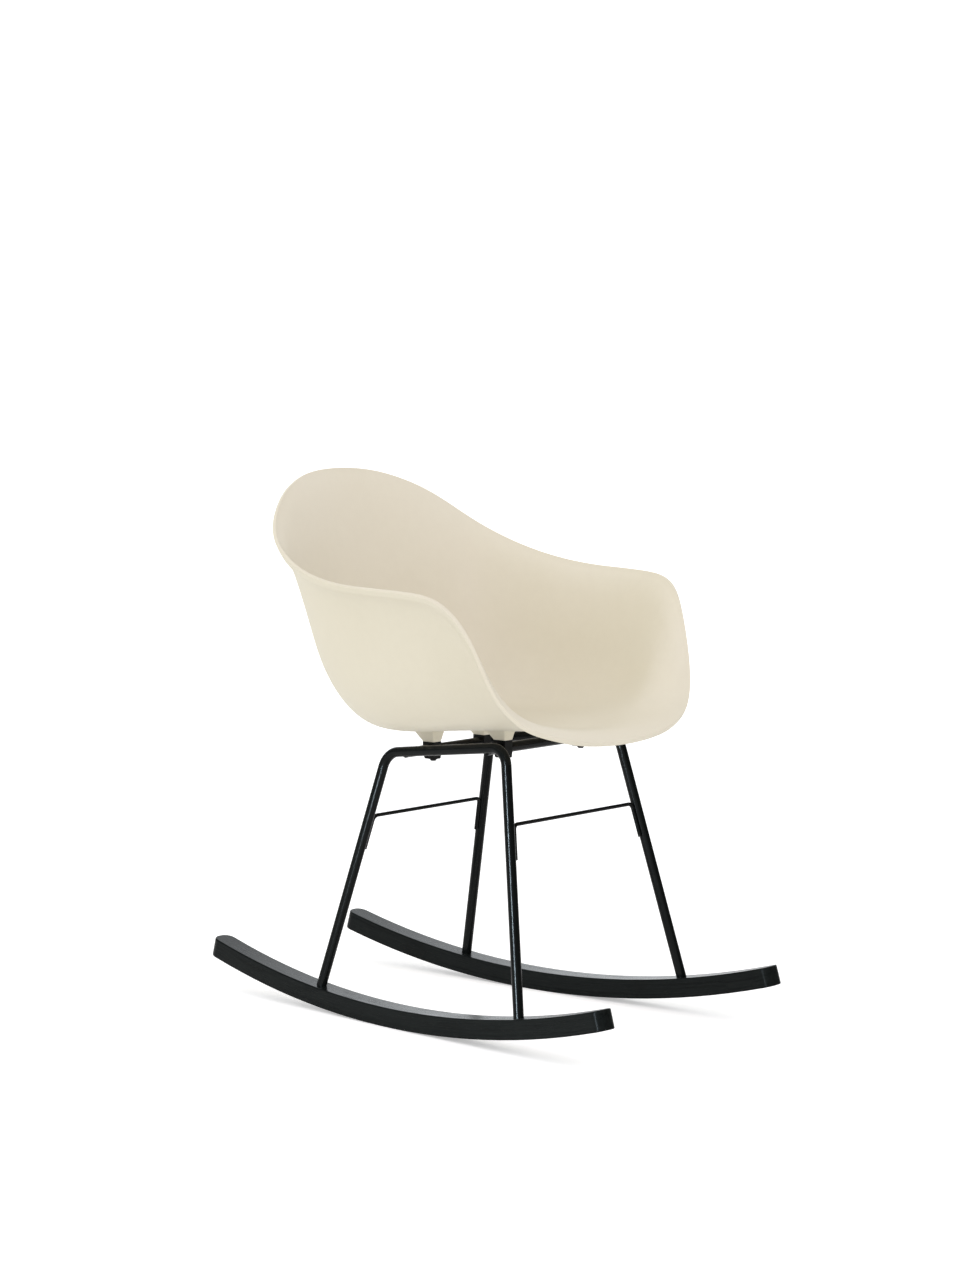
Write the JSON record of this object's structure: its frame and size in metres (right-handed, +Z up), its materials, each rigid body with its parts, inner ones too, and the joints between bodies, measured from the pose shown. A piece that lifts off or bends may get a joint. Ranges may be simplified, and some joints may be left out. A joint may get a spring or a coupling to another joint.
{
  "type": "rocking armchair",
  "caption": "Rocking armchair: one-piece moulded bucket shell with arms on a bent tube frame, carried by curved wooden rockers.",
  "frame": {"origin": "on the floor, in the symmetry plane, at the middle of the rockers' length", "axes": "+Z up, -Y the way the sitter faces, +X the sitter's left"},
  "size_m": [0.6054, 0.8704, 0.8527],
  "materials": {
    "shell_plastic": "fine satin texture",
    "powder_coat": "semi-gloss black powder coat",
    "stained_wood": "black stain, open grain, satin",
    "block_plastic": "fine texture",
    "black_fastener": "black oxide",
    "plain_steel": "zinc plated",
    "insert_brass": "turned"
  },
  "bodies": {
    "root": {"seat_shell": "shell_plastic", "front_shell_inserts": "insert_brass", "rear_shell_inserts": "insert_brass", "front_left_mount_block": "block_plastic", "front_right_mount_block": "block_plastic", "rear_left_mount_block": "block_plastic", "rear_right_mount_block": "block_plastic", "front_mount_washers": "black_fastener", "rear_mount_washers": "black_fastener", "front_mount_bolts": "black_fastener", "rear_mount_bolts": "black_fastener", "left_side_frame": "powder_coat", "right_side_frame": "powder_coat", "front_cross_tube": "powder_coat", "rear_cross_tube": "powder_coat", "front_stretcher": "powder_coat", "rear_stretcher": "powder_coat", "left_rocker": "stained_wood", "right_rocker": "stained_wood", "left_leg_plugs": "plain_steel", "right_leg_plugs": "plain_steel", "left_rocker_screws": "plain_steel", "right_rocker_screws": "plain_steel"}
  },
  "joints": []
}
